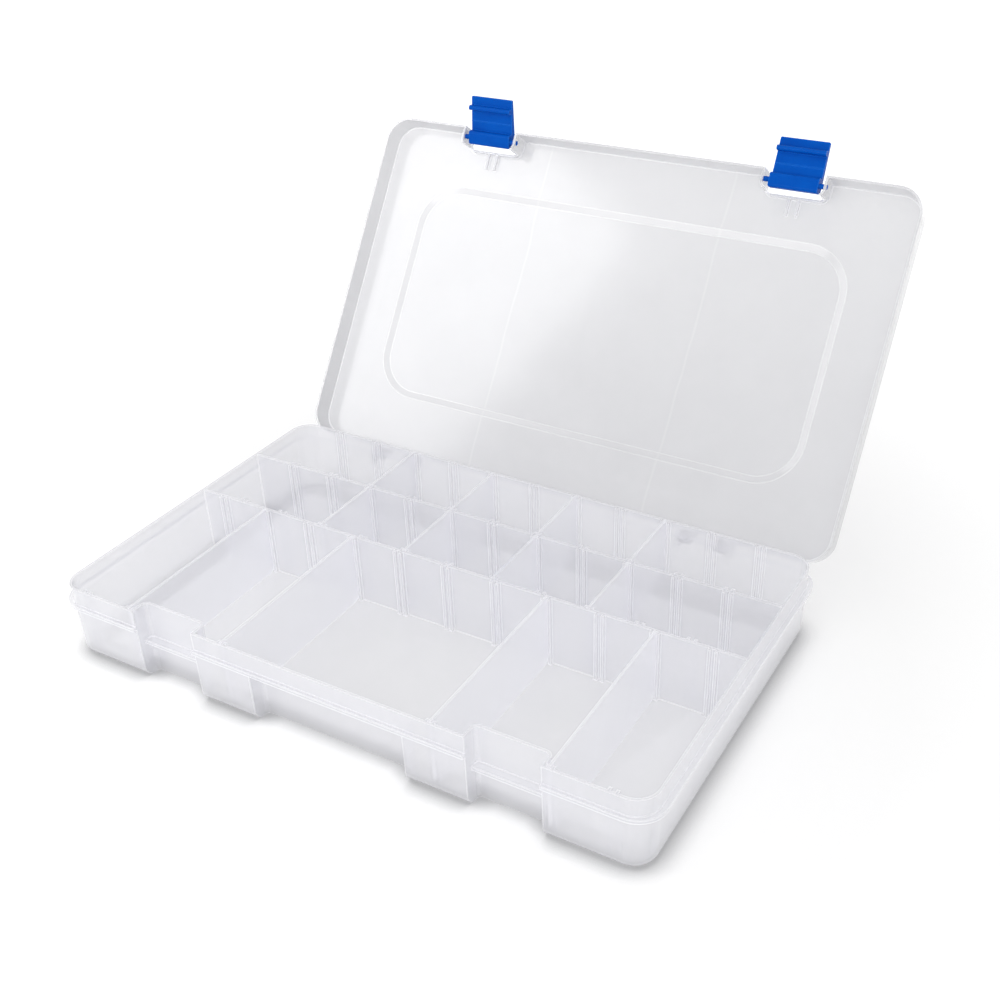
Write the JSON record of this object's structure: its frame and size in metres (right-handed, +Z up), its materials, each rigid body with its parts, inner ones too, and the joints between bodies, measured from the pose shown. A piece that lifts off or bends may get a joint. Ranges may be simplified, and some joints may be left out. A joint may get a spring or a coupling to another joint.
{
  "type": "tackle box",
  "caption": "Clear flat compartment box with a hinged lid, snap latches and lift-out dividers, for sorting tackle or other small parts.",
  "frame": {"origin": "middle of the tray's flat underside", "axes": "+X to the right along the hinge, +Y from the latches to the hinge, +Z up out of the tray"},
  "size_m": [0.3548, 0.355, 0.2302],
  "materials": {
    "clear_tray": "clear",
    "clear_lid": "clear",
    "clear_divider": "clear",
    "blue_latch": "gloss"
  },
  "bodies": {
    "base_tray": {"base_tray": "clear_tray"},
    "lid": {"lid": "clear_lid"},
    "left_latch": {"left_latch": "blue_latch"},
    "right_latch": {"right_latch": "blue_latch"},
    "back_divider_1": {"back_divider_1": "clear_divider"},
    "back_divider_2": {"back_divider_2": "clear_divider"},
    "back_divider_3": {"back_divider_3": "clear_divider"},
    "back_divider_4": {"back_divider_4": "clear_divider"},
    "middle_divider_1": {"middle_divider_1": "clear_divider"},
    "middle_divider_2": {"middle_divider_2": "clear_divider"},
    "middle_divider_3": {"middle_divider_3": "clear_divider"},
    "middle_divider_4": {"middle_divider_4": "clear_divider"},
    "front_divider_1": {"front_divider_1": "clear_divider"},
    "front_divider_2": {"front_divider_2": "clear_divider"},
    "front_divider_3": {"front_divider_3": "clear_divider"},
    "front_divider_4": {"front_divider_4": "clear_divider"}
  },
  "joints": [
    {"name": "lid_hinge", "type": "hinge", "parent": "base_tray", "child": "lid", "pos_m": [0, 0.1104, 0.0324], "axis": [-1, 0, 0], "range_deg": [-124, 0]},
    {"name": "left_latch_pivot", "type": "hinge", "parent": "lid", "child": "left_latch", "pos_m": [-0.1015, 0.23279, 0.20508], "axis": [-1, 0, 0], "range_deg": [-60, 120]},
    {"name": "right_latch_pivot", "type": "hinge", "parent": "lid", "child": "right_latch", "pos_m": [0.1015, 0.23279, 0.20508], "axis": [-1, 0, 0], "range_deg": [-85, 95]},
    {"name": "back_divider_1_lift", "type": "slide", "parent": "base_tray", "child": "back_divider_1", "axis": [0, 0, 1], "range_m": [0, 0.05]},
    {"name": "back_divider_2_lift", "type": "slide", "parent": "base_tray", "child": "back_divider_2", "axis": [0, 0, 1], "range_m": [0, 0.05]},
    {"name": "back_divider_3_lift", "type": "slide", "parent": "base_tray", "child": "back_divider_3", "axis": [0, 0, 1], "range_m": [0, 0.05]},
    {"name": "back_divider_4_lift", "type": "slide", "parent": "base_tray", "child": "back_divider_4", "axis": [0, 0, 1], "range_m": [0, 0.05]},
    {"name": "middle_divider_1_lift", "type": "slide", "parent": "base_tray", "child": "middle_divider_1", "axis": [0, 0, 1], "range_m": [0, 0.05]},
    {"name": "middle_divider_2_lift", "type": "slide", "parent": "base_tray", "child": "middle_divider_2", "axis": [0, 0, 1], "range_m": [0, 0.05]},
    {"name": "middle_divider_3_lift", "type": "slide", "parent": "base_tray", "child": "middle_divider_3", "axis": [0, 0, 1], "range_m": [0, 0.05]},
    {"name": "middle_divider_4_lift", "type": "slide", "parent": "base_tray", "child": "middle_divider_4", "axis": [0, 0, 1], "range_m": [0, 0.05]},
    {"name": "front_divider_1_lift", "type": "slide", "parent": "base_tray", "child": "front_divider_1", "axis": [0, 0, 1], "range_m": [0, 0.05]},
    {"name": "front_divider_2_lift", "type": "slide", "parent": "base_tray", "child": "front_divider_2", "axis": [0, 0, 1], "range_m": [0, 0.05]},
    {"name": "front_divider_3_lift", "type": "slide", "parent": "base_tray", "child": "front_divider_3", "axis": [0, 0, 1], "range_m": [0, 0.05]},
    {"name": "front_divider_4_lift", "type": "slide", "parent": "base_tray", "child": "front_divider_4", "axis": [0, 0, 1], "range_m": [0, 0.05]}
  ]
}
